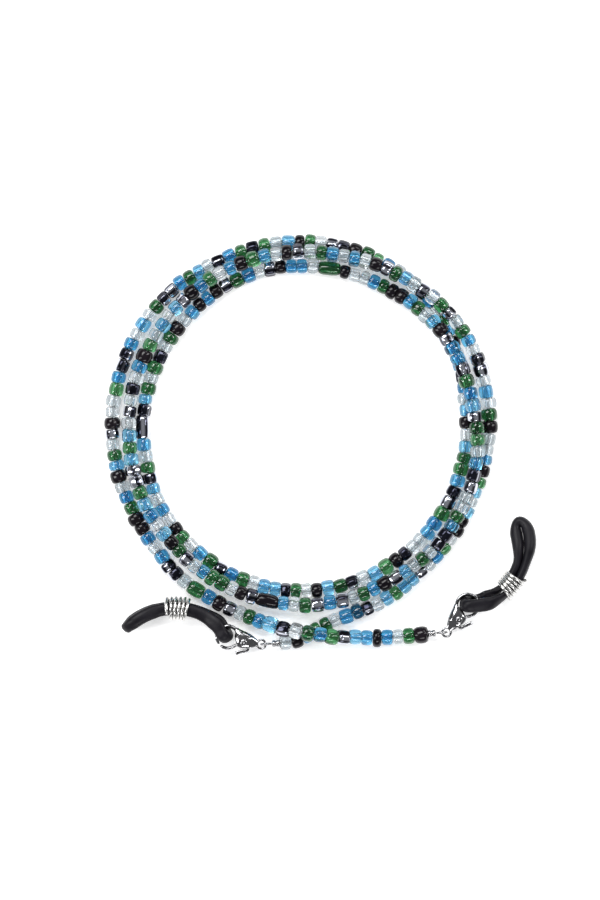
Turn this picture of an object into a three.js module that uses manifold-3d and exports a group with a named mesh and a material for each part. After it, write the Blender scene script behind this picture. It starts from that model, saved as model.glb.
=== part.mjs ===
// A beaded eyeglass chain, coiled on a table: glass seed beads on a thin thread, wound into nearly three
// turns, with a lobster clasp and a rubber temple grip at each end. Millimetres, +Z up, table at z = 0.
import * as THREE from "three";
import { mergeVertices } from "three/addons/utils/BufferGeometryUtils.js";
import Module from "manifold-3d";

const wasm = await Module();
wasm.setup();

// ---- driving dimensions -------------------------------------------------------------------------

// Beads and thread.
const BEAD_HOLE_RADIUS = 0.55;
const BEAD_GAP = 0.3;
const THREAD_RADIUS = 0.25;

// Coil of the strand: a bundle of three turns, of two where the tails have left it.
const COIL_INNER_RADIUS = 31.9;
const COIL_OUTER_RADIUS = 40.8;
const COIL_TWO_TURN_RADIUS = 38.0;
const COIL_HEIGHT = 5.2;
const TAIL_SECTOR = { start: THREE.MathUtils.degToRad(226.5), end: THREE.MathUtils.degToRad(303.5) };

// Crimp tube and the wire loop that links the thread to the clasp's eye.
const CRIMP = { length: 1.6, radius: 0.75, hole: 0.42 };
const END_LOOP = { radius: 0.95, wire: 0.2 };

// Lobster clasp. Its own frame: x from the eye to the head, gate on the -y side, z across its thickness.
const EYE = { radius: 1.2, hole: 0.65 };
const HEAD = { x: 7.2, radius: 2.75, hole: 1.9 };
const PIVOT = { x: 3.7, y: -0.4 };
const RIVET = { stem: 0.4, head: 0.7, headHeight: 0.18, hole: 0.55 };
const BODY_HALF_THICKNESS = 1.3;
const SLOT_HALF_HEIGHT = 0.7;
const LEVER_HALF_THICKNESS = 0.55;
const GATE_REACH = 4.95;
const HOOK_REACH = 5.2;

// Rubber grip: an elongated loop of rubber cord, pinched by a wire coil that slides along it.
const GRIP_LENGTH = 24;
const SLIDER = { turns: 5, pitch: 0.8, wire: 0.34, radius: 2.25 };

// Everything on the ends lies at this height, so that the grips and their coils rest on the table.
const END_HEIGHT = 2.65;

const ENDS = {
  left: {
    eye: [-8.0, -45.3],
    claspAngle: 168,
    flipped: true,
    hook: [7.3, 0.6],
    gripHeading: 128.3,
    gripRadius: 14.3,
    sliderAt: 12.2,
    twist: [12, 4],
    droop: 0,
  },
  right: {
    eye: [30.8, -42.8],
    claspAngle: 52,
    flipped: false,
    hook: [7.4, -0.1],
    gripHeading: 3.2,
    gripRadius: 12.3,
    sliderAt: 10.2,
    twist: [-15, -80],
    droop: 1.1,
  },
};

// The strand's route along each tail, from the coil to the crimp's outer end. The right tail passes over
// the left one in a long low hump.
const TAIL_ROUTES = {
  left: [
    [20.9, -34.1, 1.66],
    [18.7, -35.5, 1.66],
    [16.5, -36.6, 1.66],
    [14.3, -37.7, 1.66],
    [12.0, -38.6, 1.66],
    [9.6, -39.5, 1.66],
    [7.3, -40.4, 1.66],
    [5.1, -41.5, 1.66],
    [3.1, -42.7, 1.66],
    [1.1, -43.8, 1.66],
    [-1.1, -44.6, 1.8],
    [-3.4, -45.0, 2.25],
    [-5.71, -45.2, 2.62],
  ],
  right: [
    [-26.5, -30.0, 1.66],
    [-24.5, -31.8, 1.66],
    [-22.2, -33.5, 1.66],
    [-19.8, -34.9, 1.66],
    [-17.5, -36.25, 1.66],
    [-15.2, -37.5, 1.66],
    [-12.9, -38.6, 1.7],
    [-10.8, -39.5, 1.9],
    [-8.6, -40.3, 2.4],
    [-6.4, -41.1, 3.2],
    [-3.9, -41.8, 4.2],
    [-1.3, -42.4, 5.0],
    [1.4, -42.9, 5.3],
    [4.1, -43.3, 5.05],
    [6.6, -43.6, 4.3],
    [9.1, -43.8, 3.2],
    [11.8, -43.9, 2.3],
    [14.4, -43.9, 2.05],
    [17.0, -43.9, 2.1],
    [19.5, -43.8, 2.1],
    [22.0, -43.7, 2.1],
    [24.6, -43.4, 2.1],
    [27.0, -43.1, 2.5],
    [28.51, -42.95, 2.62],
  ],
};

// The beads of each tail in threading order from the crimp back to the coil: [colour, pitch, radius].
const TAIL_BEADS = {
  left: [
    ["clear", 2.4, 1.6],
    ["black", 2.4, 1.65],
    ["blue", 2.3, 1.65],
    ["green", 2.3, 1.65],
    ["green", 2.3, 1.65],
    ["clear", 2.1, 1.5],
    ["blue", 2.8, 1.65],
    ["teal", 2.3, 1.65],
    ["hematite", 2.2, 1.6],
    ["clear", 2.3, 1.6],
    ["blue", 2.3, 1.65],
    ["green", 2.2, 1.6],
  ],
  right: [
    ["black", 2.9, 1.85],
    ["green", 2.4, 1.75],
    ["clear", 2.1, 1.7],
    ["blue", 2.4, 1.7],
    ["black", 1.9, 2.0],
    ["blue", 2.4, 1.6],
    ["blue", 2.6, 1.65],
    ["hematite", 2.7, 1.6],
    ["green", 2.6, 1.7],
    ["blue", 2.55, 1.65],
    ["green", 2.55, 1.75],
    ["clear", 2.6, 1.7],
    ["hematite", 2.8, 1.65],
    ["blue", 3.2, 1.7],
    ["blue", 2.2, 1.65],
    ["green", 2.3, 1.75],
    ["clear", 2.1, 1.55],
    ["hematite", 2.5, 1.6],
    ["black", 2.5, 1.65],
    ["blue", 2.6, 1.65],
    ["green", 3.6, 1.65],
    ["clear", 2.4, 1.5],
    ["hematite", 2.3, 1.6],
  ],
};

// ---- materials ----------------------------------------------------------------------------------

function glass(colour, opacity) {
  return new THREE.MeshStandardMaterial({ color: colour, roughness: 0.12, transparent: true, opacity });
}

function metal(colour, roughness) {
  return new THREE.MeshStandardMaterial({ color: colour, roughness, metalness: 1 });
}

const MATERIALS = {
  blue: glass(0x2f9fd8, 0.85),
  teal: glass(0x1b6f93, 0.85),
  green: glass(0x2c7a35, 0.85),
  clear: glass(0xdfe6ea, 0.45),
  black: new THREE.MeshStandardMaterial({ color: 0x120f14, roughness: 0.2 }),
  hematite: metal(0x24263a, 0.15),
  strand: glass(0x3b86b0, 0.9),
  thread: new THREE.MeshStandardMaterial({ color: 0xd5d8da, roughness: 0.5 }),
  silver: metal(0xc9cacc, 0.18),
  wire: metal(0xd2d2d0, 0.22),
  rubber: new THREE.MeshStandardMaterial({ color: 0x17161a, roughness: 0.55 }),
};

// ---- solids -------------------------------------------------------------------------------------

// A closed geometry as a manifold-3d solid.
function solid(geometry) {
  const bare = geometry.index ? geometry.toNonIndexed() : geometry.clone();
  bare.deleteAttribute("normal");
  bare.deleteAttribute("uv");
  const merged = mergeVertices(bare, 1e-4);
  return new wasm.Manifold(
    new wasm.Mesh({
      numProp: 3,
      vertProperties: merged.attributes.position.array,
      triVerts: new Uint32Array(merged.index.array),
    }),
  );
}

// A manifold-3d solid as a geometry.
function geometryOf(made) {
  const mesh = made.getMesh();
  const points = new Float32Array(mesh.numVert * 3);
  for (let i = 0; i < mesh.numVert; i++) {
    points.set(mesh.vertProperties.subarray(i * mesh.numProp, i * mesh.numProp + 3), i * 3);
  }
  return new THREE.BufferGeometry()
    .setAttribute("position", new THREE.BufferAttribute(points, 3))
    .setIndex(new THREE.BufferAttribute(mesh.triVerts, 1));
}

// A flat outline, extruded from -halfHeight to +halfHeight.
function plate(outline, halfHeight, curveSegments = 6) {
  const geometry = new THREE.ExtrudeGeometry(outline, {
    depth: 2 * halfHeight,
    bevelEnabled: false,
    curveSegments,
  });
  return geometry.translate(0, 0, -halfHeight);
}

function polygon(points) {
  return new THREE.Shape(points.map(([x, y]) => new THREE.Vector2(x, y)));
}

// An upright cylinder as a plate, centred on (x, y).
function disc(x, y, radius, halfHeight, sides) {
  return new THREE.CylinderGeometry(radius, radius, 2 * halfHeight, sides)
    .rotateX(Math.PI / 2)
    .translate(x, y, 0);
}

// A body turned about the x axis, from [x, radius] points that close on themselves.
function turned(profile, sides) {
  const points = profile.map(([x, radius]) => new THREE.Vector2(radius, x));
  return new THREE.LatheGeometry(points, sides).rotateZ(-Math.PI / 2);
}

function addMesh(group, name, geometry, material) {
  const mesh = new THREE.Mesh(geometry, MATERIALS[material]);
  mesh.name = name;
  group.add(mesh);
  return mesh;
}

// ---- beads, thread and coil ---------------------------------------------------------------------

// A seed bead: a short barrel with rounded shoulders and a straight hole, its axis along x.
function beadGeometry(length, radius) {
  const half = length / 2;
  const face = BEAD_HOLE_RADIUS + 0.45 * (radius - BEAD_HOLE_RADIUS);
  return turned(
    [
      [-half, BEAD_HOLE_RADIUS],
      [-half, face],
      [-0.45 * half, radius],
      [0.45 * half, radius],
      [half, face],
      [half, BEAD_HOLE_RADIUS],
      [-half, BEAD_HOLE_RADIUS],
    ],
    10,
  );
}

// A tube with a hole, its axis along x.
function tubeGeometry(length, radius, hole) {
  const half = length / 2;
  return turned(
    [
      [-half, hole],
      [-half, radius],
      [half, radius],
      [half, hole],
      [-half, hole],
    ],
    12,
  );
}

// The coil's outer shape: a ring round the bundle, cut back where the tails have left it.
function coilGeometry() {
  const inner = COIL_INNER_RADIUS;
  const outer = COIL_OUTER_RADIUS;
  const profile = [
    [inner + 0.6, 0],
    [outer - 0.6, 0],
    [outer, 0.9],
    [outer, 2.4],
    [outer - 2.4, COIL_HEIGHT],
    [inner + 2.4, COIL_HEIGHT],
    [inner, 2.4],
    [inner, 0.9],
    [inner + 0.6, 0],
  ].map(([radius, z]) => new THREE.Vector2(radius, z));
  const ring = new THREE.LatheGeometry(profile, 48).rotateX(Math.PI / 2);

  const { start, end } = TAIL_SECTOR;
  const cleared = new THREE.Shape();
  cleared.absarc(0, 0, COIL_OUTER_RADIUS + 3, start, end, false);
  cleared.absarc(0, 0, COIL_TWO_TURN_RADIUS, end, start, true);
  cleared.closePath();
  const cutter = plate(cleared, COIL_HEIGHT + 2, 10);
  return geometryOf(solid(ring).subtract(solid(cutter)));
}

// A round wire swept along a curve.
function sweptWire(curve, radius, steps, sides) {
  const section = new THREE.Shape();
  section.absarc(0, 0, radius, 0, 2 * Math.PI, false);
  return new THREE.ExtrudeGeometry(section, {
    steps,
    extrudePath: curve,
    curveSegments: sides,
    bevelEnabled: false,
  });
}

// Lays a piece, made along x, on the route at this distance from its far end.
function layOnRoute(mesh, route, length, fromEnd) {
  const u = 1 - fromEnd / length;
  mesh.position.copy(route.getPointAt(u));
  mesh.quaternion.setFromUnitVectors(new THREE.Vector3(1, 0, 0), route.getTangentAt(u));
}

// One tail of the strand: its thread, its crimp and its beads.
function buildTail(group, side) {
  const route = new THREE.CatmullRomCurve3(TAIL_ROUTES[side].map((p) => new THREE.Vector3(...p)));
  route.arcLengthDivisions = 400;
  const length = route.getLength();

  const crimp = tubeGeometry(CRIMP.length, CRIMP.radius, CRIMP.hole);
  layOnRoute(addMesh(group, `${side}_crimp_tube`, crimp, "silver"), route, length, CRIMP.length / 2);

  let fromEnd = CRIMP.length;
  TAIL_BEADS[side].forEach(([colour, pitch, radius], i) => {
    const name = `${side}_bead_${String(i + 1).padStart(2, "0")}`;
    const bead = addMesh(group, name, beadGeometry(pitch - BEAD_GAP, radius), colour);
    layOnRoute(bead, route, length, fromEnd + pitch / 2);
    fromEnd += pitch;
  });

  const steps = Math.ceil(length / 2);
  addMesh(group, `${side}_thread`, sweptWire(route, THREAD_RADIUS, steps, 4), "thread");
}

// ---- clasp --------------------------------------------------------------------------------------

// The teardrop outline of the clasp with its eye hole and head opening.
function claspOutline() {
  const tilt = Math.asin((HEAD.radius - EYE.radius) / HEAD.x);
  const outline = new THREE.Shape();
  outline.absarc(HEAD.x, 0, HEAD.radius, -Math.PI / 2 - tilt, Math.PI / 2 + tilt, false);
  outline.absarc(0, 0, EYE.radius, Math.PI / 2 + tilt, 1.5 * Math.PI - tilt, false);
  const eyeHole = new THREE.Path();
  eyeHole.absarc(0, 0, EYE.hole, 0, 2 * Math.PI, true);
  const opening = new THREE.Path();
  opening.absarc(HEAD.x, 0, HEAD.hole, 0, 2 * Math.PI, true);
  outline.holes.push(eyeHole, opening);
  return outline;
}

// How thick the clasp is along its length, as a side view.
function claspSideView() {
  const half = [
    [-1.5, 0.4],
    [0.9, 0.5],
    [2.4, BODY_HALF_THICKNESS],
    [4.9, BODY_HALF_THICKNESS],
    [6.2, 0.85],
    [10.3, 0.75],
  ];
  const under = half.map(([x, z]) => [x, -z]);
  return plate(polygon([...under, ...half.reverse()]), 5).rotateX(Math.PI / 2);
}

// The body: outline and side view together, less the gate's gap, the lever's slot and the rivet's hole.
function claspBody() {
  const gapReach = solid(disc(PIVOT.x, PIVOT.y, HOOK_REACH, 3, 48));
  const gapSide = solid(
    plate(polygon([[5.3, -0.45], [5.3, -4], [10.2, -4], [10.2, -0.45]]), 3),
  );
  const slot = plate(polygon([[1.9, -4], [5.9, -4], [5.9, 1.05], [1.9, 1.05]]), SLOT_HALF_HEIGHT);
  const body = solid(plate(claspOutline(), BODY_HALF_THICKNESS + 0.5, 10))
    .intersect(solid(claspSideView()))
    .subtract(gapReach.intersect(gapSide))
    .subtract(solid(slot))
    .subtract(solid(disc(PIVOT.x, PIVOT.y, RIVET.hole, 3, 12)));
  return geometryOf(body);
}

// The lever: a hub on the rivet, a gate arm that closes the hook and a thumb tab.
function claspLever() {
  const gate = new THREE.Shape();
  const from = THREE.MathUtils.degToRad(206);
  const to = THREE.MathUtils.degToRad(318);
  gate.absarc(HEAD.x, 0, HEAD.radius - 0.05, from, to, false);
  gate.absarc(HEAD.x, 0, HEAD.hole + 0.05, to, from, true);
  gate.closePath();
  const reach = solid(disc(PIVOT.x, PIVOT.y, GATE_REACH, 2, 48));
  const arm = polygon([[3.3, -1.2], [5.0, -1.95], [5.5, -0.95], [4.3, 0.3]]);
  const tab = polygon([
    [3.3, -1.15],
    [2.9, -1.6],
    [4.9, -2.75],
    [4.75, -3.2],
    [2.25, -2.05],
    [2.25, -1.4],
    [3.1, -0.5],
  ]);
  const lever = solid(disc(PIVOT.x, PIVOT.y, 0.95, LEVER_HALF_THICKNESS, 16))
    .add(solid(plate(gate, LEVER_HALF_THICKNESS)).intersect(reach))
    .add(solid(plate(arm, LEVER_HALF_THICKNESS)))
    .add(solid(plate(tab, LEVER_HALF_THICKNESS - 0.1)))
    .subtract(solid(disc(PIVOT.x, PIVOT.y, RIVET.hole, 2, 12)));
  return geometryOf(lever);
}

// The rivet through both cheeks and the lever, with a low head on each side.
function rivetGeometry() {
  const under = BODY_HALF_THICKNESS + 0.04;
  const top = under + RIVET.headHeight;
  const half = [
    [under, RIVET.stem],
    [under, RIVET.head],
    [top - 0.06, RIVET.head - 0.1],
    [top, 0.3],
    [top, 0],
  ];
  const mirrored = half.map(([x, radius]) => [-x, radius]).reverse();
  return turned([...mirrored, ...half], 12)
    .rotateY(-Math.PI / 2)
    .translate(PIVOT.x, PIVOT.y, 0);
}

// The leaf spring: a bowed strip along the slot's inner wall that presses on the gate arm.
function leafSpring() {
  const strip = new THREE.Shape();
  strip.moveTo(2.3, 0.7);
  strip.quadraticCurveTo(3.6, 0.9, 5.0, 0.66);
  strip.lineTo(5.0, 0.8);
  strip.quadraticCurveTo(3.6, 1.04, 2.3, 0.84);
  strip.closePath();
  return plate(strip, 0.5, 5);
}

// ---- rubber grip and its sliding coil -----------------------------------------------------------

// Half the distance between the grip's two strands at this distance from the hook.
const GRIP_OUTLINE = [
  [0.0, 0.0],
  [0.1, 0.95],
  [0.85, 1.66],
  [2.3, 1.72],
  [4.0, 1.45],
  [5.7, 0.95],
  [7.5, 0.87],
  [11.0, 0.87],
  [14.5, 0.88],
  [16.0, 0.97],
  [18.0, 1.2],
  [20.0, 1.32],
  [21.6, 1.33],
  [22.9, 1.08],
  [23.7, 0.6],
];

const smooth = THREE.MathUtils.smoothstep;

// The rubber's thickness, seen across the pair of strands.
function rubberThickness(s) {
  return 1.35 + 0.1 * smooth(s, 2, 5) + 0.8 * smooth(s, 14.5, 20) - 0.6 * smooth(s, 21.5, 23.8);
}

// The rubber's width, seen along the pair.
function rubberWidth(s) {
  const nearHook = 1.7 * smooth(s, 1.5, 4) - 0.5 * smooth(s, 5.5, 8.5);
  const farEnd = 0.2 * smooth(s, 14.5, 17) - 0.5 * smooth(s, 22, 24);
  return 1.5 + nearHook + farEnd;
}

// A grip's flexed line: an arc that turns left from the hook, with the pair of strands upright or twisted.
function flexedPoint({ gripRadius, twist, droop }, s, across, sideways) {
  const turn = s / gripRadius;
  const tangent = new THREE.Vector3(Math.cos(turn), Math.sin(turn), 0);
  const left = new THREE.Vector3(-tangent.y, tangent.x, 0);
  const up = new THREE.Vector3(0, 0, 1);
  const angle = THREE.MathUtils.degToRad(THREE.MathUtils.lerp(twist[0], twist[1], smooth(s, 2, 9)));
  const pair = up.clone().multiplyScalar(Math.cos(angle)).addScaledVector(left, Math.sin(angle));
  const face = new THREE.Vector3().crossVectors(tangent, pair);
  return new THREE.Vector3(
    gripRadius * Math.sin(turn),
    gripRadius * (1 - Math.cos(turn)),
    -droop * smooth(s, 17.5, GRIP_LENGTH),
  )
    .addScaledVector(pair, across)
    .addScaledVector(face, sideways);
}

// The closed rubber loop, modelled flat with an oval section and then flexed.
function gripGeometry(end) {
  const tip = [GRIP_LENGTH, 0];
  const far = GRIP_OUTLINE.slice(1).map(([s, t]) => [s, -t]);
  const points = [...GRIP_OUTLINE, tip, ...far.reverse()].map(([s, t]) => new THREE.Vector3(s, t, 0));
  const loop = new THREE.CatmullRomCurve3(points, true);
  loop.arcLengthDivisions = 400;
  const steps = 48;
  const sides = 8;
  const geometry = new THREE.TubeGeometry(loop, steps, 1, sides, true);
  const position = geometry.attributes.position;
  const vertex = new THREE.Vector3();
  for (let i = 0; i <= steps; i++) {
    const centre = loop.getPointAt(i === steps ? 0 : i / steps);
    for (let j = 0; j <= sides; j++) {
      const at = i * (sides + 1) + j;
      vertex.fromBufferAttribute(position, at).sub(centre);
      const half = rubberThickness(centre.x) / 2;
      const s = centre.x + vertex.x * half;
      const across = centre.y + vertex.y * half;
      const sideways = (vertex.z * rubberWidth(centre.x)) / 2;
      position.setXYZ(at, ...flexedPoint(end, s, across, sideways).toArray());
    }
  }
  return geometry;
}

// The helix that the slider's wire follows round the flexed rubber.
class SliderHelix extends THREE.Curve {
  constructor(end) {
    super();
    this.end = end;
  }

  getPoint(u, target = new THREE.Vector3()) {
    const angle = 2 * Math.PI * SLIDER.turns * u;
    const s = this.end.sliderAt + SLIDER.pitch * SLIDER.turns * (u - 0.5);
    const across = SLIDER.radius * Math.cos(angle);
    const sideways = SLIDER.radius * Math.sin(angle);
    const untwisted = { ...this.end, twist: [0, 0] };
    return target.copy(flexedPoint(untwisted, s, across, sideways));
  }
}

function sliderGeometry(end) {
  return sweptWire(new SliderHelix(end), SLIDER.wire, 12 * SLIDER.turns, 3);
}

// ---- assembly -----------------------------------------------------------------------------------

// The clasp, the grip hooked in it and the grip's slider, at one end of the strand.
function buildEnd(group, side) {
  const end = ENDS[side];
  const clasp = new THREE.Group();
  clasp.position.set(...end.eye, END_HEIGHT);
  clasp.rotation.set(end.flipped ? Math.PI : 0, 0, THREE.MathUtils.degToRad(end.claspAngle), "ZYX");
  addMesh(clasp, `${side}_clasp_body`, claspBody(), "silver");
  addMesh(clasp, `${side}_clasp_lever`, claspLever(), "silver");
  addMesh(clasp, `${side}_clasp_rivet`, rivetGeometry(), "silver");
  addMesh(clasp, `${side}_clasp_spring`, leafSpring(), "wire");
  group.add(clasp);

  clasp.updateMatrixWorld(true);
  const hook = new THREE.Vector3(...end.hook, 0).applyMatrix4(clasp.matrixWorld);
  const grip = new THREE.Group();
  grip.position.copy(hook);
  grip.rotation.z = THREE.MathUtils.degToRad(end.gripHeading);
  addMesh(grip, `${side}_grip_loop`, gripGeometry(end), "rubber");
  addMesh(grip, `${side}_slider_coil`, sliderGeometry(end), "wire");
  group.add(grip);

  const eye = new THREE.Vector3(...end.eye, END_HEIGHT);
  const crimpEnd = new THREE.Vector3(...TAIL_ROUTES[side].at(-1));
  const away = crimpEnd.sub(eye).setZ(0).normalize();
  const link = addMesh(
    group,
    `${side}_end_loop`,
    new THREE.TorusGeometry(END_LOOP.radius, END_LOOP.wire, 8, 16).rotateX(Math.PI / 2),
    "wire",
  );
  link.position.copy(eye).addScaledVector(away, END_LOOP.radius);
  link.rotation.z = Math.atan2(away.y, away.x);
}

const chain = new THREE.Group();
addMesh(chain, "bead_coil", coilGeometry(), "strand");
for (const side of ["left", "right"]) {
  buildTail(chain, side);
  buildEnd(chain, side);
}

// The origin is under the middle of the whole object, on the table.
const extent = new THREE.Box3().setFromObject(chain, true);
const middle = extent.getCenter(new THREE.Vector3());
chain.position.set(-middle.x, -middle.y, -extent.min.z);

const eyeglassChain = new THREE.Group();
eyeglassChain.add(chain);

export default eyeglassChain;
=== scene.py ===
"""Looks of a beaded eyeglass chain that lies coiled on a table.

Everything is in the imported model's frame, in metres. Shapes are worked out in millimetres from the
centre of the coil, and placed by the coil's own box.
"""
import math
import random

import bmesh
import bpy
import numpy as np
from mathutils import Matrix, Vector


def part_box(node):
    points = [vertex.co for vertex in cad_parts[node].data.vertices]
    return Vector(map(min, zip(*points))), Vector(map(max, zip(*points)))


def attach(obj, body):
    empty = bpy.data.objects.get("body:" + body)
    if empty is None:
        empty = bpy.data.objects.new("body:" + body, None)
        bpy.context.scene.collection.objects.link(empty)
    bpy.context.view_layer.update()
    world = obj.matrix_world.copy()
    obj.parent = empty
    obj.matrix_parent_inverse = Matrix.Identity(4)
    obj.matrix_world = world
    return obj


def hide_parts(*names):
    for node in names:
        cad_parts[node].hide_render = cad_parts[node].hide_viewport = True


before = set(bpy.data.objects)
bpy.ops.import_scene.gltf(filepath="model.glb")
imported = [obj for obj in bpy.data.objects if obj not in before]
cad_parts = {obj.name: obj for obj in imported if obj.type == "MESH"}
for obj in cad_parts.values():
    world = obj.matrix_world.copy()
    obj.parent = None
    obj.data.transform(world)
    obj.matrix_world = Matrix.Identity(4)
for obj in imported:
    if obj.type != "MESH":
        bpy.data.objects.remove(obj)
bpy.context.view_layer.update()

MM = 0.001
SEED = 7
COIL_RADIUS = 40.8
coil_low, coil_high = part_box("bead_coil")
COIL_CENTRE = Vector(((coil_low[0] + coil_high[0]) / 2, coil_high[1] - COIL_RADIUS * MM, 0))
scene = bpy.context.scene
rng = random.Random(SEED)


def to_frame(points):
    """Points in millimetres from the coil's centre as metres in the frame."""
    return np.asarray(points, float) * MM + np.array(COIL_CENTRE)


# ---- camera, floor and light --------------------------------------------------------------------

VIEW_CENTRE = to_frame([(0.1, -4.6, 0)])[0]
VIEW_HEIGHT = 0.189
CAMERA_HEIGHT = 1.3
LIGHTS = [
    ("key_softbox", (-0.24, 0.4, 0.7), (0.5, 0.3), 4.6),
    ("right_strip", (0.52, 0.16, 0.5), (0.1, 0.45), 1.8),
    ("left_strip", (-0.55, -0.12, 0.46), (0.1, 0.45), 1.7),
    ("front_strip", (0.12, -0.58, 0.48), (0.45, 0.09), 1.6),
    ("back_strip", (0.3, 0.55, 0.45), (0.3, 0.09), 1.0),
]
WORLD_COLOUR = (0.95, 0.97, 1.0, 1)
WORLD_STRENGTH = 0.17


def make_camera():
    data = bpy.data.cameras.new("camera")
    data.angle = 2 * math.atan(VIEW_HEIGHT / 2 / CAMERA_HEIGHT)
    data.clip_start = 0.01
    camera = bpy.data.objects.new("camera", data)
    camera.location = (VIEW_CENTRE[0], VIEW_CENTRE[1], CAMERA_HEIGHT)
    scene.collection.objects.link(camera)
    scene.camera = camera


def area_light(name, place, size, power):
    data = bpy.data.lights.new(name, "AREA")
    data.shape = "RECTANGLE"
    data.size, data.size_y = size
    data.energy = power
    light = bpy.data.objects.new(name, data)
    light.location = Vector(place)
    light.rotation_euler = (-Vector(place)).to_track_quat("-Z", "Y").to_euler()
    scene.collection.objects.link(light)


def make_surroundings():
    for light in LIGHTS:
        area_light(*light)
    world = bpy.data.worlds.new("studio")
    world.use_nodes = True
    background = world.node_tree.nodes["Background"]
    background.inputs["Color"].default_value = WORLD_COLOUR
    background.inputs["Strength"].default_value = WORLD_STRENGTH
    scene.world = world
    scene.view_settings.view_transform = "Standard"


make_camera()
make_surroundings()

# ---- the strand's route -------------------------------------------------------------------------

CRIMP_LENGTH = 1.6

# The tails, as in the CAD model, each from the coil to the outer end of its crimp.
LEFT_TAIL = [
    (20.9, -34.1, 1.66), (18.7, -35.5, 1.66), (16.5, -36.6, 1.66), (14.3, -37.7, 1.66),
    (12.0, -38.6, 1.66), (9.6, -39.5, 1.66), (7.3, -40.4, 1.66), (5.1, -41.5, 1.66),
    (3.1, -42.7, 1.66), (1.1, -43.8, 1.66), (-1.1, -44.6, 1.8), (-3.4, -45.0, 2.25),
    (-5.71, -45.2, 2.62),
]
RIGHT_TAIL = [
    (-26.5, -30.0, 1.66), (-24.5, -31.8, 1.66), (-22.2, -33.5, 1.66), (-19.8, -34.9, 1.66),
    (-17.5, -36.25, 1.66), (-15.2, -37.5, 1.66), (-12.9, -38.6, 1.7), (-10.8, -39.5, 1.9),
    (-8.6, -40.3, 2.4), (-6.4, -41.1, 3.2), (-3.9, -41.8, 4.2), (-1.3, -42.4, 5.0),
    (1.4, -42.9, 5.3), (4.1, -43.3, 5.05), (6.6, -43.6, 4.3), (9.1, -43.8, 3.2),
    (11.8, -43.9, 2.3), (14.4, -43.9, 2.05), (17.0, -43.9, 2.1), (19.5, -43.8, 2.1),
    (22.0, -43.7, 2.1), (24.6, -43.4, 2.1), (27.0, -43.1, 2.5), (28.51, -42.95, 2.62),
]

# The coil, turn by turn: (angle in degrees, radius, height). The first turn starts outermost. At the
# upper right it moves in over the third, to run on top between the other two. The second turn moves
# in again to become the innermost. The third dives under both and comes out as the outermost.
COIL_KEYS = [
    (-51, 39.3, 1.65), (-40, 39.1, 1.65), (-20, 39.1, 1.65), (-8, 39.5, 1.65), (2, 39.85, 1.75),
    (12, 39.9, 2.3), (22, 39.85, 3.2), (31, 39.65, 3.95), (40, 39.25, 4.68), (50, 38.65, 4.95),
    (60, 38.1, 4.87), (70, 37.4, 4.56), (80, 37.1, 4.36), (100, 36.8, 4.25), (122, 36.4, 3.9),
    (135, 36.1, 3.3), (150, 35.8, 3.1), (185, 35.75, 3.1), (200, 36.0, 3.65), (225, 36.05, 3.75),
    (240, 36.3, 3.8), (255, 36.7, 3.5), (275, 37.1, 3.25), (292, 37.15, 3.3), (309, 37.35, 4.3),
    (322, 37.75, 4.7), (340, 37.9, 4.65), (350, 37.7, 4.5), (360, 37.0, 4.4), (370, 36.5, 4.75),
    (380, 36.2, 4.95), (392, 35.9, 4.75), (400, 35.6, 4.1), (408, 35.2, 2.9), (417, 34.6, 1.85),
    (426, 34.25, 1.65), (460, 34.0, 1.65), (480, 33.6, 1.65), (495, 33.15, 1.65), (510, 32.9, 1.65),
    (550, 32.8, 1.65), (565, 33.3, 1.65), (585, 33.5, 1.65), (600, 33.8, 1.65), (630, 34.1, 1.65),
    (660, 34.3, 1.65), (690, 34.8, 1.65), (710, 35.0, 1.65), (722, 35.0, 1.65), (730, 35.3, 1.65),
    (740, 36.0, 1.65), (750, 37.0, 1.65), (760, 37.9, 1.65), (770, 38.5, 1.65), (780, 38.9, 1.65),
    (795, 39.0, 1.65), (840, 38.9, 1.65), (850, 39.35, 1.65), (900, 39.3, 1.65), (930, 39.1, 1.65),
    (941, 39.35, 1.65),
]
COIL_STEP = 7.5


def eased(keys, xs):
    """Each column of the keys at xs, without overshoot between keys."""
    table = np.array(keys, float)
    x = table[:, 0]
    h = np.diff(x)
    i = np.clip(np.searchsorted(x, xs, side="right") - 1, 0, len(x) - 2)
    t = (xs - x[i]) / h[i]
    columns = []
    for y in table[:, 1:].T:
        d = np.diff(y) / h
        m = np.zeros(len(x))
        same_way = d[:-1] * d[1:] > 0
        m[1:-1][same_way] = 2 * d[:-1][same_way] * d[1:][same_way] / (d[:-1] + d[1:])[same_way]
        columns.append(
            (2 * t**3 - 3 * t**2 + 1) * y[i]
            + (t**3 - 2 * t**2 + t) * h[i] * m[i]
            + (3 * t**2 - 2 * t**3) * y[i + 1]
            + (t**3 - t**2) * h[i] * m[i + 1]
        )
    return columns


def coil_points():
    first, last = COIL_KEYS[0][0], COIL_KEYS[-1][0]
    angles = np.linspace(first, last, round((last - first) / COIL_STEP) + 1)
    radius, height = eased(COIL_KEYS, angles)
    return np.stack(
        [radius * np.cos(np.radians(angles)), radius * np.sin(np.radians(angles)), height], axis=1
    )


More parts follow.
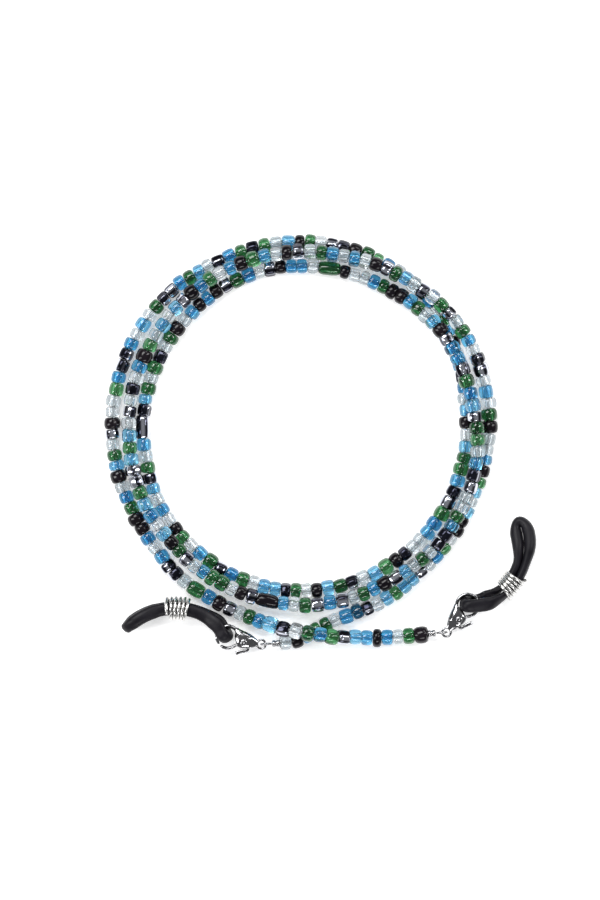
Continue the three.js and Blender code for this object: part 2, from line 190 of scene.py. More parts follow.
def smooth_line(points, per_span=12):
    """A centripetal Catmull-Rom line through the points."""
    p = np.array(points, float)
    p = np.vstack([2 * p[0] - p[1], p, 2 * p[-1] - p[-2]])
    gaps = np.sqrt(np.linalg.norm(np.diff(p, axis=0), axis=1))
    line = []
    for i in range(1, len(p) - 2):
        before, gap, after = gaps[i - 1], gaps[i], gaps[i + 1]
        span = p[i + 1] - p[i]
        m1 = span + gap * ((p[i] - p[i - 1]) / before - (p[i + 1] - p[i - 1]) / (before + gap))
        m2 = span + gap * ((p[i + 2] - p[i + 1]) / after - (p[i + 2] - p[i]) / (gap + after))
        for t in np.arange(per_span) / per_span:
            line.append(
                (2 * t**3 - 3 * t**2 + 1) * p[i]
                + (t**3 - 2 * t**2 + t) * m1
                + (3 * t**2 - 2 * t**3) * p[i + 1]
                + (t**3 - t**2) * m2
            )
    line.append(p[-2])
    return np.array(line)


class Line:
    """A line that can be read at any distance along it."""

    def __init__(self, points):
        self.points = points
        steps = np.linalg.norm(np.diff(points, axis=0), axis=1)
        self.at = np.concatenate([[0], np.cumsum(steps)])
        self.length = self.at[-1]

    def point(self, s):
        return np.array([np.interp(s, self.at, self.points[:, k]) for k in range(3)])

    def tangent(self, s, reach=0.6):
        d = self.point(min(s + reach, self.length)) - self.point(max(s - reach, 0))
        return d / np.linalg.norm(d)

    def resampled(self, step):
        count = round(self.length / step) + 1
        return np.array([self.point(s) for s in np.linspace(0, self.length, count)])


strand = Line(smooth_line(np.vstack([LEFT_TAIL[::-1], coil_points(), RIGHT_TAIL])))

# ---- materials ----------------------------------------------------------------------------------


class Material:
    """A Principled material with room for texture nodes."""

    def __init__(self, name, **values):
        self.made = bpy.data.materials.new(name)
        self.made.use_nodes = True
        self.nodes = self.made.node_tree.nodes
        self.links = self.made.node_tree.links
        self.shader = self.nodes["Principled BSDF"]
        for socket, value in values.items():
            self.shader.inputs[socket.replace("_", " ")].default_value = value
        self.coordinates = self.nodes.new("ShaderNodeTexCoord").outputs["Object"]

    def noise(self, scale, detail, stretch=(1, 1, 1)):
        mapping = self.nodes.new("ShaderNodeMapping")
        mapping.inputs["Scale"].default_value = stretch
        self.links.new(self.coordinates, mapping.inputs["Vector"])
        noise = self.nodes.new("ShaderNodeTexNoise")
        noise.inputs["Scale"].default_value = scale
        noise.inputs["Detail"].default_value = detail
        self.links.new(mapping.outputs["Vector"], noise.inputs["Vector"])
        return noise.outputs["Fac"]

    def attribute(self, name):
        node = self.nodes.new("ShaderNodeAttribute")
        node.attribute_name = name
        return node.outputs["Fac"]

    def ranged(self, value, low, high, source=(0.3, 0.7)):
        node = self.nodes.new("ShaderNodeMapRange")
        limits = {"From Min": source[0], "From Max": source[1], "To Min": low, "To Max": high}
        for socket, number in limits.items():
            node.inputs[socket].default_value = number
        self.links.new(value, node.inputs["Value"])
        return node.outputs["Result"]

    def ramp(self, value, stops):
        node = self.nodes.new("ShaderNodeValToRGB")
        elements = node.color_ramp.elements
        while len(elements) < len(stops):
            elements.new(0.5)
        for element, (position, colour) in zip(elements, stops):
            element.position = position
            element.color = (*colour, 1)
        self.links.new(value, node.inputs["Fac"])
        return node.outputs["Color"]

    def mixed(self, factor, first, second, mode="MIX"):
        node = self.nodes.new("ShaderNodeMix")
        node.data_type = "RGBA"
        node.blend_type = mode
        for socket, value in ((0, factor), (6, first), (7, second)):
            if isinstance(value, bpy.types.NodeSocket):
                self.links.new(value, node.inputs[socket])
            else:
                node.inputs[socket].default_value = value
        return node.outputs[2]

    def bump(self, height, distance):
        node = self.nodes.new("ShaderNodeBump")
        node.inputs["Distance"].default_value = distance
        self.links.new(height, node.inputs["Height"])
        self.links.new(node.outputs["Normal"], self.shader.inputs["Normal"])

    def colour(self, value):
        self.links.new(value, self.shader.inputs["Base Color"])

    def roughness(self, value):
        self.links.new(value, self.shader.inputs["Roughness"])


def glass_material(name, stops, transmission, roughness=(0.05, 0.14), coat=0.1, specular=0.5):
    """Coloured glass: a tone for each bead, bands of painted shade along its hole that stand in for
    its refraction, and faint cloudiness.
    """
    glass = Material(
        name,
        Transmission_Weight=transmission,
        IOR=1.5,
        Coat_Weight=coat,
        Specular_IOR_Level=specular,
    )
    tint = glass.ramp(glass.attribute("tone"), stops)
    # Painted shade: bands along the hole darkened towards the deepest tone, in place of the hole's
    # refraction.
    streaks = glass.ranged(glass.attribute("streak"), 0.0, 0.6, (0.4, 1.0))
    refraction_shade = glass.mixed(0.62, tint, stops[0][1] + (1,), "MULTIPLY")
    shaded = glass.mixed(streaks, tint, refraction_shade)
    cloud = glass.noise(900, detail=2.0)
    haze = glass.ranged(cloud, 0.0, 0.2)
    glass.colour(glass.mixed(haze, shaded, (0.9, 0.95, 1.0, 1), "MULTIPLY"))
    glass.roughness(glass.ranged(cloud, *roughness))
    glass.bump(glass.noise(520, detail=1.0), 0.000012)
    return glass.made


def metal_material(name, colour, roughness):
    """Plated metal, a little duller in patches, with fine scratches."""
    metal = Material(name, Metallic=1.0)
    cloud = metal.noise(500, detail=4.0)
    dull = tuple(0.82 * c for c in colour)
    metal.colour(metal.ramp(cloud, [(0.3, dull), (0.6, colour)]))
    metal.roughness(metal.ranged(cloud, *roughness))
    metal.bump(metal.noise(1500, detail=1.0, stretch=(1, 0.25, 1)), 0.0000012)
    return metal.made


def rubber_material():
    rubber = Material("black_rubber", Specular_IOR_Level=0.2)
    cloud = rubber.noise(260, detail=5.0)
    rubber.colour(rubber.ramp(cloud, [(0.3, (0.005, 0.0045, 0.007)), (0.7, (0.011, 0.01, 0.014))]))
    rubber.roughness(rubber.ranged(cloud, 0.34, 0.52))
    rubber.bump(rubber.noise(5200, detail=3.0), 0.000015)
    return rubber.made


def thread_material():
    thread = Material("nylon_thread", Transmission_Weight=0.25, Specular_IOR_Level=0.5)
    fibres = thread.noise(4500, detail=2.0)
    thread.colour(thread.ramp(fibres, [(0.35, (0.6, 0.62, 0.64)), (0.65, (0.86, 0.88, 0.9))]))
    thread.roughness(thread.ranged(fibres, 0.35, 0.6))
    thread.bump(fibres, 0.00002)
    return thread.made


GLASS = {
    "B": glass_material(
        "blue_glass",
        [(0.0, (0.055, 0.34, 0.62)), (0.4, (0.12, 0.5, 0.78)), (1.0, (0.32, 0.7, 0.9))],
        0.88,
    ),
    "T": glass_material("teal_glass", [(0.0, (0.01, 0.12, 0.24)), (1.0, (0.03, 0.22, 0.36))], 0.8),
    "G": glass_material(
        "green_glass",
        [(0.0, (0.025, 0.16, 0.05)), (0.6, (0.06, 0.29, 0.1)), (1.0, (0.15, 0.45, 0.2))],
        0.85,
    ),
    "C": glass_material(
        "clear_glass",
        [(0.0, (0.68, 0.75, 0.78)), (1.0, (0.93, 0.96, 0.98))],
        0.86,
    ),
    "K": glass_material(
        "jet_glass",
        [(0.0, (0.003, 0.002, 0.004)), (1.0, (0.01, 0.007, 0.01))],
        0.0,
        roughness=(0.1, 0.2),
        coat=0.0,
        specular=0.3,
    ),
}


def hematite_material():
    hematite = Material("hematite_glass", Metallic=0.9, Coat_Weight=0.3, Coat_Roughness=0.02)
    cloud = hematite.noise(700, detail=2.0)
    # Painted highlights: pale grey streaks mixed over the dark body, in place of the lights' white
    # glints.
    streaks = hematite.ranged(hematite.attribute("streak"), 0.0, 1.0, (0.55, 0.95))
    dark = hematite.ramp(cloud, [(0.3, (0.005, 0.006, 0.014)), (0.7, (0.028, 0.03, 0.052))])
    hematite.colour(hematite.mixed(streaks, dark, (0.62, 0.64, 0.72, 1)))
    hematite.roughness(hematite.ranged(cloud, 0.05, 0.13))
    hematite.bump(hematite.noise(850, detail=1.0), 0.00008)
    return hematite.made


GLASS["H"] = hematite_material()
SILVER = metal_material("silver_plate", (0.4, 0.4, 0.41), (0.08, 0.15))
WIRE = metal_material("silver_wire", (0.7, 0.695, 0.68), (0.2, 0.3))
RUBBER = rubber_material()
THREAD = thread_material()

# ---- mesh tools ---------------------------------------------------------------------------------


def mesh_object(name, points, faces, material, **attributes):
    """A smooth mesh piece, from points already in the frame, with a number at each point."""
    mesh = bpy.data.meshes.new(name)
    mesh.from_pydata([tuple(p) for p in points], [], faces)
    mesh.polygons.foreach_set("use_smooth", [True] * len(mesh.polygons))
    for attribute, values in attributes.items():
        mesh.attributes.new(attribute, "FLOAT", "POINT").data.foreach_set("value", values)
    mesh.materials.append(material)
    mesh.update()
    made = bpy.data.objects.new(name, mesh)
    scene.collection.objects.link(made)
    return made


def grid_faces(rows, columns, start=0, close_rows=True, close_columns=True):
    """Quads over a grid of points, wrapping round both ways where it closes."""
    faces = []
    for i in range(rows if close_rows else rows - 1):
        for j in range(columns if close_columns else columns - 1):
            a = i * columns + j
            b = i * columns + (j + 1) % columns
            c = (i + 1) % rows * columns + (j + 1) % columns
            d = (i + 1) % rows * columns + j
            faces.append((start + a, start + b, start + c, start + d))
    return faces


def frames_along(points):
    """Two sideways directions at each point of a line, turning as little as possible."""
    tangents = np.gradient(points, axis=0)
    tangents /= np.linalg.norm(tangents, axis=1)[:, None]
    side = np.cross(tangents[0], (0.0, 0.0, 1.0))
    if np.linalg.norm(side) < 1e-3:
        side = np.cross(tangents[0], (1.0, 0.0, 0.0))
    sides = []
    for t in tangents:
        side = side - t * np.dot(side, t)
        side /= np.linalg.norm(side)
        sides.append(side)
    sides = np.array(sides)
    return sides, np.cross(tangents, sides)


def rounded(theta, power):
    """Points of a unit superellipse."""
    c, s = np.cos(theta), np.sin(theta)
    return np.sign(c) * np.abs(c) ** (2 / power), np.sign(s) * np.abs(s) ** (2 / power)


def wire_mesh(points, radius, sides, power=2.0):
    """A wire with rounded ends along a line, as points and faces."""
    across, up = frames_along(points)
    radii = np.broadcast_to(np.asarray(radius, float), (len(points),)).copy()
    theta = np.linspace(0, 2 * math.pi, sides, endpoint=False)
    x, y = rounded(theta, power)
    rings = []
    for p, a, u, r in zip(points, across, up, radii):
        rings.append(p + r * (x[:, None] * a + y[:, None] * u))
    ends = []
    for end, direction in ((0, points[0] - points[1]), (-1, points[-1] - points[-2])):
        direction = direction / np.linalg.norm(direction)
        cap = points[end] + direction * radii[end] * 0.55
        ends.append(
            cap + 0.72 * radii[end] * (x[:, None] * across[end] + y[:, None] * up[end])
        )
    rings = [ends[0], *rings, ends[1]]
    faces = grid_faces(len(rings), sides, close_rows=False)
    faces.append(tuple(range(sides)))
    faces.append(tuple(len(rings) * sides - 1 - k for k in range(sides)))
    return np.vstack(rings), faces


def closed_tube(name, ring_points, material):
    """A tube that closes on itself, from an array of rings."""
    rows, columns, _ = ring_points.shape
    return mesh_object(name, ring_points.reshape(-1, 3), grid_faces(rows, columns), material)


# ---- beads --------------------------------------------------------------------------------------

HOLE = 0.55
BEAD_GAP = 0.1
THREAD_RADIUS = 0.25
THREAD_STEP = 1.2
LEAN = 0.09
ASIDE = 0.13
PITCH = {"B": 2.3, "T": 2.3, "G": 2.35, "C": 2.2, "K": 2.3, "H": 2.3}
RADIUS = {"B": 1.62, "T": 1.62, "G": 1.68, "C": 1.58, "K": 1.64, "H": 1.58}
SQUARENESS = {"B": 2.6, "T": 2.6, "G": 2.35, "C": 2.6, "K": 2.3, "H": 2.9}
FACETS = {"H": 7}
TUBE_PITCH, TUBE_RADIUS = 4.0, 1.5
SLOTS = {
    "B": ("blue_beads", "glass_blue"),
    "T": ("teal_beads", "glass_teal"),
    "G": ("green_beads", "glass_green"),
    "C": ("clear_beads", "glass_clear"),
    "K": ("jet_beads", "glass_black"),
    "H": ("hematite_beads", "glass_hematite"),
}

# The tails' beads from the crimp to the coil: (colour, pitch, radius).
LEFT_BEADS = [
    ("C", 2.4, 1.6), ("K", 2.4, 1.65), ("B", 2.3, 1.65), ("G", 2.3, 1.65), ("G", 2.3, 1.65),
    ("C", 2.1, 1.5), ("B", 2.8, 1.65), ("T", 2.3, 1.65), ("H", 2.2, 1.6), ("C", 2.3, 1.6),
    ("B", 2.3, 1.65), ("G", 2.2, 1.6),
]
RIGHT_BEADS = [
    ("K", 2.9, 1.85), ("G", 2.4, 1.75), ("C", 2.1, 1.7), ("B", 2.4, 1.7), ("K", 1.9, 2.0),
    ("B", 2.4, 1.6), ("B", 2.6, 1.65), ("H", 2.7, 1.6), ("G", 2.6, 1.7), ("B", 2.55, 1.65),
    ("G", 2.55, 1.75), ("C", 2.6, 1.7), ("H", 2.8, 1.65), ("B", 3.2, 1.7), ("B", 2.2, 1.65),
    ("G", 2.3, 1.75), ("C", 2.1, 1.55), ("H", 2.5, 1.6), ("K", 2.5, 1.65), ("B", 2.6, 1.65),
    ("G", 3.6, 1.65), ("C", 2.4, 1.5), ("H", 2.3, 1.6),
]

# The coil's beads in threading order: B blue, G green, C clear, K jet and H hematite, with small
# letters for tubes of nearly twice the length. Each group is one stretch of a turn.
COIL_BEADS = (
    "BBHCBGCKKBCBGKBCC" "KGCBCHHCBGCHGCHCB"
    "GHKCBCBGCHKCBGKBCGBKHBCBCGKBCHCHCBGBHHGBBCBKGHCBGGCKHkBCGHBHCGBKHBCGCHHBGCCHHBCG"
    "GHBBGHBBHKBCGBKK" "GBCCKgCBBKHCBGHKBKBCKGCHGCG"
    "BHhBCGHBCBCKG" "CBGHBGC" "BBHGCKBGHCBGKHCCBBGHH"
    "BGGBCK" "BCBHBCKBGCBHCB"
    "CBGGKHHCGKBCGHGBHCBGBHHGCBCBHHBGCCKHCGBKCBGKKBCBH"
)


def bead_points(length, radius, squareness, facets, around=28, profile=14):
    """One bead round the x axis: a rounded ring, a little uneven, and its painted streak mask, which
    places painted shade in the glass and painted highlights on hematite.
    """
    theta = np.linspace(0, 2 * math.pi, profile, endpoint=False)
    along, out = rounded(theta, squareness)
    x = along * length / 2
    r = (radius + HOLE) / 2 + out * (radius - HOLE) / 2
    phi = np.linspace(0, 2 * math.pi, around, endpoint=False)
    slant = rng.uniform(0, 2 * math.pi)
    lean = rng.uniform(0.02, 0.1)
    oval = rng.uniform(0.96, 1.04)
    flat = np.ones(around)
    if facets:
        corner = math.pi / facets
        flat = 1.03 * math.cos(corner) / np.cos(phi % (2 * corner) - corner)
    xs = x[None] * (1 + lean * np.cos(phi - slant))[:, None]
    ys = r[None] * (flat * np.cos(phi))[:, None] * oval
    zs = r[None] * (flat * np.sin(phi))[:, None] / oval
    # Bands round the bead where painted light goes: painted shade bands in the glass, painted
    # highlights on hematite.
    waves = np.sin(2 * phi + slant) * np.sin(3 * phi + rng.uniform(0, 6.28))
    streak = np.repeat(np.clip(0.5 + 0.9 * waves, 0, 1), profile)
    return np.stack([xs, ys, zs], axis=2).reshape(-1, 3), streak, (around, profile)


def threaded_beads():
    """Every bead as (colour, distance along the strand, length, radius, node or None)."""
    beads = []
    s = CRIMP_LENGTH
    for i, (colour, pitch, radius) in enumerate(LEFT_BEADS, 1):
        beads.append((colour, s + pitch / 2, pitch - BEAD_GAP, radius, f"left_bead_{i:02d}"))
        s += pitch
    coil_start = s
    s = strand.length - CRIMP_LENGTH
    for i, (colour, pitch, radius) in enumerate(RIGHT_BEADS, 1):
        beads.append((colour, s - pitch / 2, pitch - BEAD_GAP, radius, f"right_bead_{i:02d}"))
        s -= pitch
    coil_end = s

    pitches = [
        (TUBE_PITCH if c.islower() else PITCH[c]) * rng.uniform(0.87, 1.13) for c in COIL_BEADS
    ]
    fit = (coil_end - coil_start) / sum(pitches)
    s = coil_start
    for c, pitch in zip(COIL_BEADS, pitches):
        radius = TUBE_RADIUS if c.islower() else RADIUS[c] * rng.uniform(0.91, 1.07)
        beads.append((c.upper(), s + pitch * fit / 2, pitch * fit - BEAD_GAP, radius, None))
        s += pitch * fit
    return beads


def build_beads():
    """One piece for each colour of glass, with no bead below the table."""
    made = []
    beads = threaded_beads()
    for colour, (name, slot) in SLOTS.items():
        points, faces, tones, streaks, nodes = [], [], [], [], []
        for kind, s, length, radius, node in beads:
            if kind != colour:
                continue
            shape = bead_points(length, radius, SQUARENESS[kind], FACETS.get(kind))
            local, streak, (rows, columns) = shape
            axis = Vector(strand.tangent(s)).to_track_quat("X", "Z").to_matrix()
            turn = Matrix.Rotation(rng.uniform(0, 6.28), 3, "X")
            lean = Matrix.Rotation(rng.uniform(-LEAN, LEAN), 3, "Z")
            start = sum(len(p) for p in points)
            aside = np.array(axis @ Vector((0, rng.uniform(-ASIDE, ASIDE), 0)))
            bead = local @ np.array(axis @ lean @ turn).T + strand.point(s) + aside
            lift = max(0, -bead[:, 2].min())
            bead[:, 2] += lift
            points.append(bead)
            faces += grid_faces(rows, columns, start)
            tones += [rng.random()] * len(local)
            streaks += list(streak)
            if node:
                nodes.append(node)
        place = to_frame(np.vstack(points))
        # The streak numbers place the painted shade and the painted highlights on the beads.
        piece = mesh_object(name, place, faces, GLASS[colour], tone=tones, streak=streaks)
        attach(piece, "strand")
        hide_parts(*nodes)
        made.append(piece)
    return made


def build_thread():
    """The thread through every bead, and its first point."""
    line = to_frame(strand.resampled(THREAD_STEP))
    data = bpy.data.curves.new("thread", "CURVE")
    data.dimensions = "3D"
    data.bevel_depth = THREAD_RADIUS * MM
    data.bevel_resolution = 3
    data.use_fill_caps = True
    spline = data.splines.new("POLY")
    spline.points.add(len(line) - 1)
    spline.points.foreach_set("co", np.column_stack([line, np.ones(len(line))]).ravel())
    data.materials.append(THREAD)
    thread = bpy.data.objects.new("thread", data)
    scene.collection.objects.link(thread)
    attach(thread, "strand")
    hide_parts("bead_coil", "left_thread", "right_thread")
    return thread, line[0]


bead_pieces = build_beads()
thread, thread_start = build_thread()

# ---- the ends: crimp, wire loop, clasp, grip and slider -----------------------------------------

# For each end: the clasp's eye, angle and side up, and the point in its hook that the grip hangs
# from. Then the grip's heading and bend, the slider's distance along it, the twist and the droop to
# the table. Last the way and spread of the slider's loose wire end, the grip's extra thickness, where
# it starts to swell, and how far back and aside it sits in the hook.
END_HEIGHT = 2.65
ENDS = {
    "left": dict(
        eye=(-8.0, -45.3), angle=168, flipped=True, hook=(7.3, 0.6), heading=128.3, radius=14.3,
        slider=12.2, twist=(12, 4), droop=0.0, stub=(1, 1.25), fat=0.0, swell=16.0,
        nestle=(0.15, -0.6),
    ),
    "right": dict(
        eye=(30.8, -42.8), angle=52, flipped=False, hook=(7.4, -0.1), heading=3.2, radius=12.3,
        slider=10.2, twist=(-15, -80), droop=1.1, stub=(-1, 0.75), fat=0.34, swell=14.5,
        nestle=(0.6, -0.2),
    ),
}
EYE_RADIUS, HEAD_X, HEAD_RADIUS = 0.92, 7.2, 2.33
PIVOT = (3.7, -0.4)
GRIP_LENGTH = 24.0
GRIP_OUTLINE = [
    (0.0, 0.0), (0.1, 0.95), (0.85, 1.66), (2.3, 1.72), (4.0, 1.48), (5.7, 1.0), (7.5, 0.88),
    (11.0, 0.87), (14.5, 0.88), (16.0, 0.97), (18.0, 1.2), (20.0, 1.32), (21.6, 1.33), (22.9, 1.08),
    (23.7, 0.6),
]
GRIP_RINGS, GRIP_SIDES = 180, 20
SLIDER_TURNS, SLIDER_PITCH, SLIDER_WIRE, SLIDER_RADIUS = 5, 0.82, 0.345, 2.25
LINK_RADIUS, LINK_WIRE = 0.95, 0.27


def smoothstep(x, low, high):
    t = np.clip((x - low) / (high - low), 0, 1)
    return t * t * (3 - 2 * t)


def flexed(end, s, across, sideways, straight=False):
    """Points of a grip's bent shape: s along it, across its pair of strands and sideways."""
    values = [np.asarray(v, float) for v in (s, across, sideways)]
    s, across, sideways = np.broadcast_arrays(*values)
    turn = s / end["radius"]
    low, high = (0, 0) if straight else end["twist"]
    angle = np.radians(low + (high - low) * smoothstep(s, 2, 9))
    tangent = np.stack([np.cos(turn), np.sin(turn), 0 * turn], -1)
    left = np.stack([-np.sin(turn), np.cos(turn), 0 * turn], -1)
    up = np.array([0.0, 0.0, 1.0])
    pair = up * np.cos(angle)[..., None] + left * np.sin(angle)[..., None]
    face = np.cross(tangent, pair)
    base = np.stack(
        [
            end["radius"] * np.sin(turn),
            end["radius"] * (1 - np.cos(turn)),
            -end["droop"] * smoothstep(s, 17.5, GRIP_LENGTH),
        ],
        -1,
    )
    return base + pair * across[..., None] + face * sideways[..., None]


def end_matrices(end):
    """The clasp's and the grip's places, in millimetres from the coil's centre."""
    turn = Matrix.Rotation(math.radians(end["angle"]), 4, "Z")
    flip = Matrix.Rotation(math.pi if end["flipped"] else 0, 4, "X")
    clasp = Matrix.Translation((*end["eye"], END_HEIGHT)) @ turn @ flip
    hook = clasp @ Vector((*end["hook"], 0))
    grip = Matrix.Translation(hook) @ Matrix.Rotation(math.radians(end["heading"]), 4, "Z")
    return clasp, grip


def placed(matrix, points):
    m = np.array(matrix)
    return to_frame(np.asarray(points).reshape(-1, 3) @ m[:3, :3].T + m[:3, 3]).reshape(
        np.shape(points)
    )


def build_grip(side, end, matrix):
    """The rubber loop: an oval cord that closes on itself, flexed."""
    far = [(s, -t) for s, t in GRIP_OUTLINE[1:]][::-1]
    flat = [(s, t, 0.0) for s, t in [*GRIP_OUTLINE, (GRIP_LENGTH, 0.0), *far]]
    wrapped = smooth_line([*flat[-3:], *flat, *flat[:4]], per_span=16)[3 * 16 : -3 * 16]
    loop = Line(wrapped)
    theta = np.linspace(0, 2 * math.pi, GRIP_SIDES, endpoint=False)
    rings = []
    for k in range(GRIP_RINGS):
        distance = loop.length * k / GRIP_RINGS
        centre = loop.point(distance)
        tangent = loop.tangent(distance, 0.2)
        normal = np.array([-tangent[1], tangent[0]])
        s = centre[0]
        thick = 2.7 - 1.25 * smoothstep(s, 0.2, 1.7)
        thick += 0.8 * smoothstep(s, end["swell"], 20) + end["fat"] * smoothstep(s, 9, 12)
        thick -= 0.6 * smoothstep(s, 21.5, 23.8)
        wide = 2.8 + 0.3 * smoothstep(s, 0.5, 4) - 0.38 * smoothstep(s, 3.5, 8)
        wide += 0.2 * smoothstep(s, end["swell"], 17.5) - 0.5 * smoothstep(s, 22, 24)
        out, side_way = rounded(theta, 2.25)
        back, aside = np.array(end["nestle"]) * (1 - smoothstep(s, 0.4, 3.2))
        rings.append(
            flexed(
                end,
                s + normal[0] * out * thick / 2 - back,
                centre[1] + normal[1] * out * thick / 2,
                side_way * wide / 2 + aside,
            )
        )
    piece = closed_tube(f"{side}_grip", placed(matrix, np.array(rings)), RUBBER)
    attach(piece, f"{side}_grip")
    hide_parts(f"{side}_grip_loop")


def build_slider(side, end, matrix):
    """The wire coil round the grip, with one end of its wire standing off."""
    way, spread = end["stub"]
    turns = np.linspace(-0.05, 1, 42 * SLIDER_TURNS)
    angle = 2 * math.pi * SLIDER_TURNS * turns * way + math.radians(70)
    s = end["slider"] + way * SLIDER_PITCH * SLIDER_TURNS * (0.5 - turns)
    off = 1 - smoothstep(turns, -0.05, 0.02)
    radius = SLIDER_RADIUS + 0.4 * spread * off
    s = s + 0.12 * spread * way * off
    line = flexed(end, s, radius * np.cos(angle), radius * np.sin(angle), straight=True)
    points, faces = wire_mesh(line, SLIDER_WIRE, sides=16)
    piece = mesh_object(f"{side}_slider_wire", placed(matrix, points), faces, WIRE)
    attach(piece, f"{side}_slider")
    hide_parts(f"{side}_slider_coil")


# ---- clasp --------------------------------------------------------------------------------------


def loft(sections, sides=28):
    """A closed body along x from (x, y centre, half width, half thickness) sections."""
    theta = np.linspace(0, 2 * math.pi, sides, endpoint=False)
    y, z = rounded(theta, 2.6)
    rings = [
        np.stack([np.full(sides, x), middle + wide * y, thick * z], 1)
        for x, middle, wide, thick in sections
    ]
    faces = grid_faces(len(rings), sides, close_rows=False)
    faces.append(tuple(range(sides))[::-1])
    faces.append(tuple((len(rings) - 1) * sides + k for k in range(sides)))
    return np.vstack(rings), faces


def arc_bar(centre, radius, start, end, wide, thick, steps=48, sides=20):
    """A bar bent round a centre in the xy plane: wide across the bend, thick along z."""
    theta = np.linspace(0, 2 * math.pi, sides, endpoint=False)
    out, up = rounded(theta, 2.4)
    rings = []
    for t in np.linspace(0, 1, steps):
        a = math.radians(start + (end - start) * t)
        taper = 1 - 0.35 * (1 - smoothstep(t, 0, 0.12)) - 0.35 * smoothstep(t, 0.88, 1)
        r = radius + out * wide * taper
        rings.append(
            np.stack(
                [
                    centre[0] + r * math.cos(a),
                    centre[1] + r * math.sin(a),
                    up * thick * taper,
                ],
                1,
            )
        )
    faces = grid_faces(len(rings), sides, close_rows=False)
    faces.append(tuple(range(sides))[::-1])
    faces.append(tuple((len(rings) - 1) * sides + k for k in range(sides)))
    return np.vstack(rings), faces


def ring_bar(centre, radius, wide, thick, steps=40, sides=16):
    """A closed ring in the xy plane: wide across, thick along z."""
    theta = np.linspace(0, 2 * math.pi, sides, endpoint=False)
    out, up = rounded(theta, 2.3)
    rings = []
    for a in np.linspace(0, 2 * math.pi, steps, endpoint=False):
        r = radius + out * wide
        rings.append(
            np.stack([centre[0] + r * math.cos(a), centre[1] + r * math.sin(a), up * thick], 1)
        )
    return np.vstack(rings), grid_faces(steps, sides)


def box_mesh(low, high):
    """A box between two corners, as points and faces."""
    (x0, y0, z0), (x1, y1, z1) = low, high
    points = [(x, y, z) for x in (x0, x1) for y in (y0, y1) for z in (z0, z1)]
    faces = [(0, 1, 3, 2), (4, 6, 7, 5), (0, 4, 5, 1), (2, 3, 7, 6), (0, 2, 6, 4), (1, 5, 7, 3)]
    return np.array(points), faces


def plain_object(parts):
    """One object without a material from several (points, faces) parts."""
    points, faces, start = [], [], 0
    for p, f in parts:
        points.append(p)
        faces += [tuple(start + k for k in face) for face in f]
        start += len(p)
    mesh = bpy.data.meshes.new("part")
    mesh.from_pydata([tuple(p) for p in np.vstack(points)], [], faces)
    bm = bmesh.new()
    bm.from_mesh(mesh)
    bmesh.ops.recalc_face_normals(bm, faces=bm.faces)
    bm.to_mesh(mesh)
    bm.free()
    made = bpy.data.objects.new("part", mesh)
    scene.collection.objects.link(made)
    return made


def apply_modifiers(obj):
    """The object's mesh with its modifiers applied; the object itself is removed."""
    depsgraph = bpy.context.evaluated_depsgraph_get()
    mesh = bpy.data.meshes.new_from_object(obj.evaluated_get(depsgraph), depsgraph=depsgraph)
    bpy.data.objects.remove(obj)
    return mesh


CAST_VOXEL = 0.055


def cast(name, parts, cuts, smoothing, matrix, material):
    """One casting: the parts fused and smoothed, with the cuts taken out first."""
    whole = plain_object(parts)
    tools = []
    for cut in cuts:
        tool = plain_object([cut])
        tools.append(tool)
        boolean = whole.modifiers.new("cut", "BOOLEAN")
        boolean.operation = "DIFFERENCE"
        boolean.solver = "EXACT"
        boolean.use_self = True
        boolean.object = tool
    remesh = whole.modifiers.new("fuse", "REMESH")
    remesh.mode = "VOXEL"
    remesh.voxel_size = CAST_VOXEL
    smooth = whole.modifiers.new("smooth", "SMOOTH")
    smooth.factor = 0.5
    smooth.iterations = smoothing
    mesh = apply_modifiers(whole)
    for tool in tools:
        bpy.data.objects.remove(tool)
    points = np.empty(len(mesh.vertices) * 3)
    mesh.vertices.foreach_get("co", points)
    faces = [tuple(p.vertices) for p in mesh.polygons]
    bpy.data.meshes.remove(mesh)
    return mesh_object(name, placed(matrix, points.reshape(-1, 3)), faces, material)


def build_clasp(side, matrix):
    """The clasp's body with its hook and eye, and its lever with the gate and the thumb tab."""
    shell = loft(
        [
            (0.7, 0.0, 0.6, 0.42),
            (1.3, 0.0, 0.98, 0.6),
            (1.9, 0.0, 1.32, 0.85),
            (2.5, 0.0, 1.6, 1.15),
            (3.2, 0.02, 1.8, 1.28),
            (4.0, 0.05, 1.95, 1.3),
            (4.8, 0.2, 1.95, 1.22),
            (5.4, 0.75, 1.6, 1.05),
            (5.85, 1.35, 1.05, 0.85),
        ]
    )
    hook = arc_bar((HEAD_X, 0), HEAD_RADIUS, -50.5, 208, 0.42, 0.78)
    eye = ring_bar((0, 0), EYE_RADIUS, 0.27, 0.38)
    slot = box_mesh((1.95, -4.0, -0.66), (5.8, 0.95, 0.66))
    body = cast(f"{side}_clasp_shell", [shell, hook, eye], [slot], 8, matrix, SILVER)
    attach(body, f"{side}_clasp")
    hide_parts(f"{side}_clasp_body")

    gate = arc_bar((HEAD_X, 0), HEAD_RADIUS, 299, 210, 0.36, 0.52)
    hub = ring_bar(PIVOT, 0.72, 0.24, 0.5)
    arm = loft(
        [(4.3, -0.8, 0.35, 0.5), (4.9, -1.1, 0.42, 0.52), (5.5, -1.5, 0.35, 0.5)], sides=20
    )
    prong_line = smooth_line(
        [(3.15, -1.0, 0), (2.55, -1.5, 0), (2.75, -1.95, 0), (3.7, -2.35, 0), (4.7, -2.9, 0)], 8
    )
    prong = wire_mesh(prong_line, np.linspace(0.34, 0.44, len(prong_line)), sides=20, power=3.5)
    lever = cast(f"{side}_clasp_gate", [gate, hub, arm, prong], [], 6, matrix, SILVER)
    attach(lever, f"{side}_lever")
    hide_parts(f"{side}_clasp_lever")


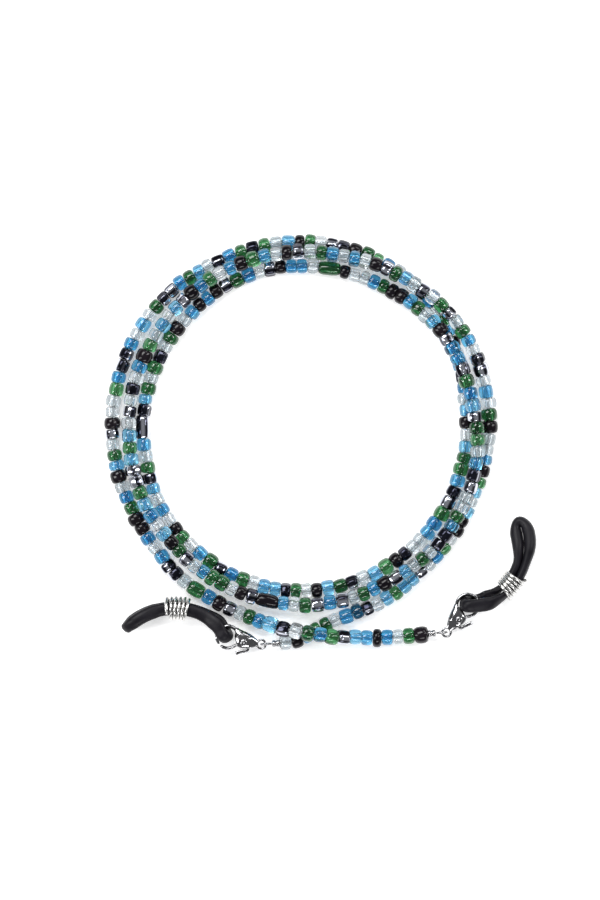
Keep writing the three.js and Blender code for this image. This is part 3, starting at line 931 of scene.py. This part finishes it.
def turned_piece(name, profile, frame_matrix, material, steps=32):
    """A body turned about its own x axis, from [x, radius] points that close on themselves."""
    x, r = np.array(profile, float).T
    rings = [
        np.stack([x, r * math.cos(a), r * math.sin(a)], 1)
        for a in np.linspace(0, 2 * math.pi, steps, endpoint=False)
    ]
    return closed_tube(name, placed(frame_matrix, np.array(rings)), material)


def build_rivet(side, matrix):
    """The rivet through the lever's hub, with a domed head on each face of the body."""
    upright = matrix @ Matrix.Translation((*PIVOT, 0)) @ Matrix.Rotation(math.pi / 2, 4, "Y")
    head = [
        (1.34, 0.34), (1.34, 0.66), (1.38, 0.7), (1.44, 0.68), (1.5, 0.56), (1.54, 0.3),
        (1.55, 0.02),
    ]
    foot = [(-x, r) for x, r in head][::-1]
    piece = turned_piece(f"{side}_rivet", [*foot, *head], upright, SILVER)
    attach(piece, f"{side}_clasp")
    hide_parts(f"{side}_clasp_rivet")


def build_link(side, end):
    """The crimp tube on the thread and the wire loop through the clasp's eye."""
    at_left = side == "left"
    near = 0.0 if at_left else strand.length
    middle = CRIMP_LENGTH / 2 if at_left else strand.length - CRIMP_LENGTH / 2
    axis = Vector(strand.tangent(middle)).to_track_quat("X", "Z").to_matrix().to_4x4()
    where = Matrix.Translation(strand.point(middle)) @ axis
    half = CRIMP_LENGTH / 2
    profile = [
        (-half, 0.42), (-half, 0.66), (-half + 0.1, 0.74), (-0.3, 0.76), (-0.15, 0.66), (0.0, 0.63),
        (0.15, 0.66), (0.3, 0.76), (half - 0.1, 0.74), (half, 0.66), (half, 0.42), (0.0, 0.42),
    ]
    crimp = turned_piece(f"{side}_crimp", profile, where, SILVER)
    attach(crimp, "strand")
    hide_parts(f"{side}_crimp_tube")

    eye = np.array([*end["eye"], END_HEIGHT])
    away = strand.point(near) - eye
    away[2] = 0
    away /= np.linalg.norm(away)
    turn = np.linspace(0, 2 * math.pi, 48, endpoint=False)
    centre = eye + away * LINK_RADIUS
    theta = np.linspace(0, 2 * math.pi, 12, endpoint=False)
    sideways = np.cross(away, (0, 0, 1))
    rings = []
    for t in turn:
        outward = away * math.cos(t) + np.array([0, 0, math.sin(t)])
        rings.append(
            centre
            + outward * LINK_RADIUS
            + LINK_WIRE * (np.cos(theta)[:, None] * outward + np.sin(theta)[:, None] * sideways)
        )
    loop = closed_tube(f"{side}_wire_loop", to_frame(np.array(rings)), SILVER)
    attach(loop, "strand")
    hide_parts(f"{side}_end_loop")


for side, end in ENDS.items():
    clasp_place, grip_place = end_matrices(end)
    build_link(side, end)
    build_clasp(side, clasp_place)
    build_rivet(side, clasp_place)
    build_grip(side, end, grip_place)
    build_slider(side, end, grip_place)
    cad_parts[f"{side}_clasp_spring"].material_slots[0].material = WIRE

# ---- floor --------------------------------------------------------------------------------------


def make_floor():
    """White paper, lit a little from below as on a light table."""
    half = 1.5
    corners = [(-half, -half, 0), (half, -half, 0), (half, half, 0), (-half, half, 0)]
    paper = Material(
        "paper",
        Specular_IOR_Level=0.1,
        Emission_Color=(1, 1, 1, 1),
        Emission_Strength=0.4,
    )
    grain = paper.noise(60, detail=6.0)
    paper.colour(paper.ramp(grain, [(0.3, (0.95, 0.95, 0.95)), (0.7, (0.97, 0.97, 0.97))]))
    paper.roughness(paper.ranged(grain, 0.75, 0.85))
    floor = mesh_object("floor", corners, [(0, 1, 2, 3)], paper.made)


make_floor()
